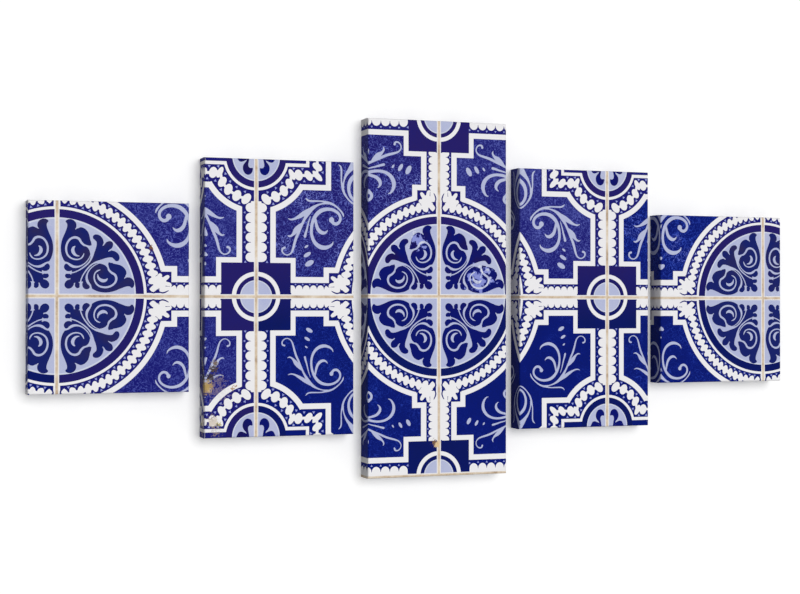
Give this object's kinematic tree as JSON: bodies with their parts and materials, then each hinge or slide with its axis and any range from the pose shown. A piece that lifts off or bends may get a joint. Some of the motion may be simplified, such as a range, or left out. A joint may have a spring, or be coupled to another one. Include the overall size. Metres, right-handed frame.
{
  "type": "five-part canvas picture",
  "caption": "Staggered row of canvas pictures with a blue and white tile pattern, each stretched over a slip-mitred pine frame and stapled at the back, to hang on a wall.",
  "frame": {"origin": "on the plane of the canvases' backs, under the middle of the centre canvas", "axes": "+X to the picture's right, +Y to its top, +Z out of its face"},
  "size_m": [1.35, 0.601, 0.038],
  "materials": {
    "printed_canvas": "matt woven canvas, printed in cobalt blue, lavender and white",
    "pine": "planed pine, unfinished",
    "staple_steel": "galvanised wire"
  },
  "bodies": {
    "root": {"bottom_rail_left_outer": "pine", "top_rail_left_outer": "pine", "left_stile_left_outer": "pine", "right_stile_left_outer": "pine", "canvas_left_outer": "printed_canvas", "staples_left_outer": "staple_steel", "bottom_rail_left_inner": "pine", "top_rail_left_inner": "pine", "left_stile_left_inner": "pine", "right_stile_left_inner": "pine", "canvas_left_inner": "printed_canvas", "staples_left_inner": "staple_steel", "bottom_rail_centre": "pine", "top_rail_centre": "pine", "left_stile_centre": "pine", "right_stile_centre": "pine", "canvas_centre": "printed_canvas", "staples_centre": "staple_steel", "bottom_rail_right_inner": "pine", "top_rail_right_inner": "pine", "left_stile_right_inner": "pine", "right_stile_right_inner": "pine", "canvas_right_inner": "printed_canvas", "staples_right_inner": "staple_steel", "bottom_rail_right_outer": "pine", "top_rail_right_outer": "pine", "left_stile_right_outer": "pine", "right_stile_right_outer": "pine", "canvas_right_outer": "printed_canvas", "staples_right_outer": "staple_steel"}
  },
  "joints": []
}
